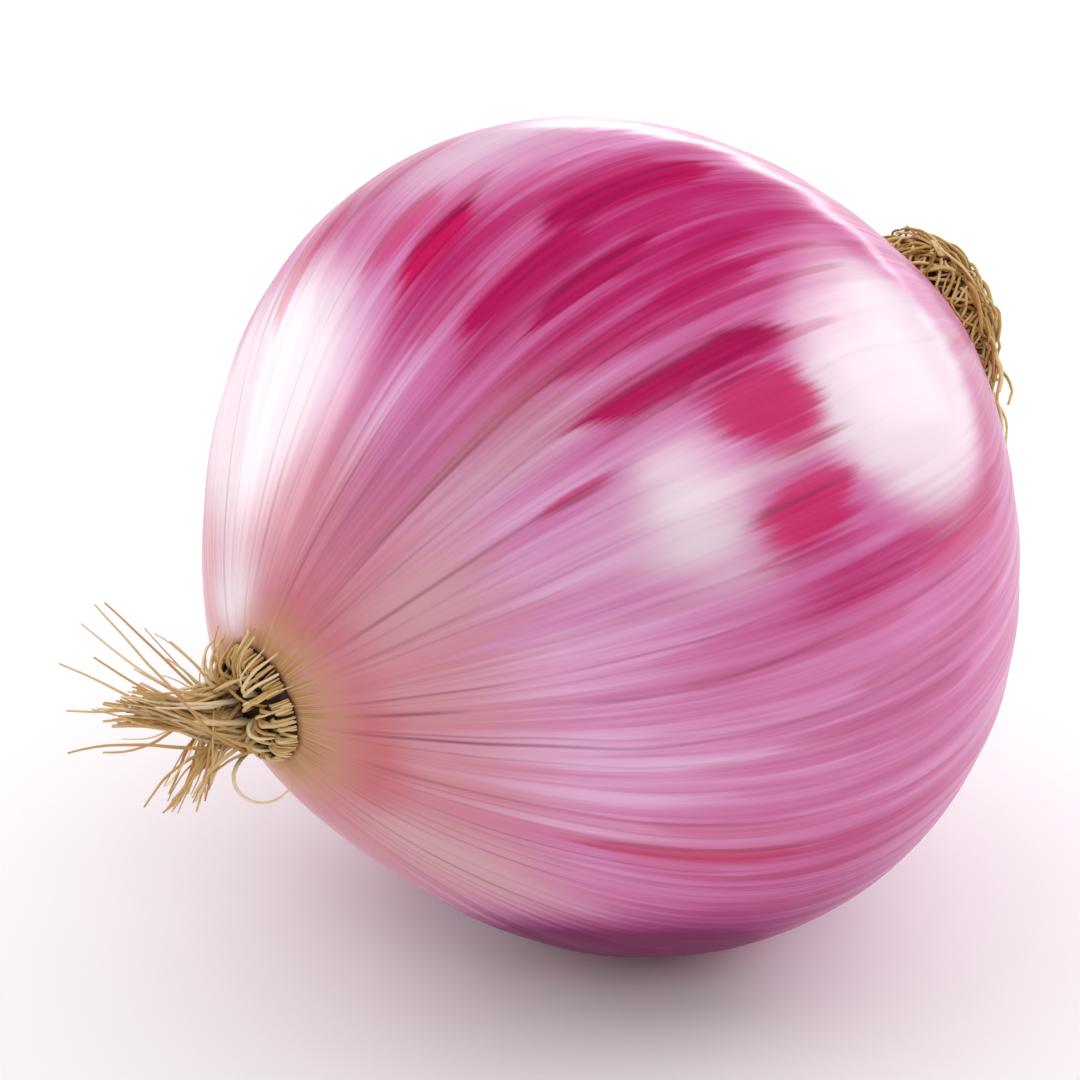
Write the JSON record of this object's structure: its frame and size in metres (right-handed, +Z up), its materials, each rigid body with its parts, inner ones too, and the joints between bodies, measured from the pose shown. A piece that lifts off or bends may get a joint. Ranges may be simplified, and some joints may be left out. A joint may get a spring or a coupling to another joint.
{
  "type": "red onion",
  "caption": "Whole red onion lying on its side: a round bulb with dried roots at one end and a frayed dry neck at the other.",
  "frame": {"origin": "centre of the small flat spot on the belly that the bulb rests on", "axes": "+Z up from the surface, X along the bulb from its roots at -X to its neck at +X, +Y across it"},
  "size_m": [0.1011, 0.0738, 0.0737],
  "materials": {
    "bulb_skin": "gloss",
    "dry_root": "matte",
    "dry_neck": "matte"
  },
  "bodies": {
    "root": {"bulb": "bulb_skin", "roots": "dry_root", "neck": "dry_neck"}
  },
  "joints": []
}
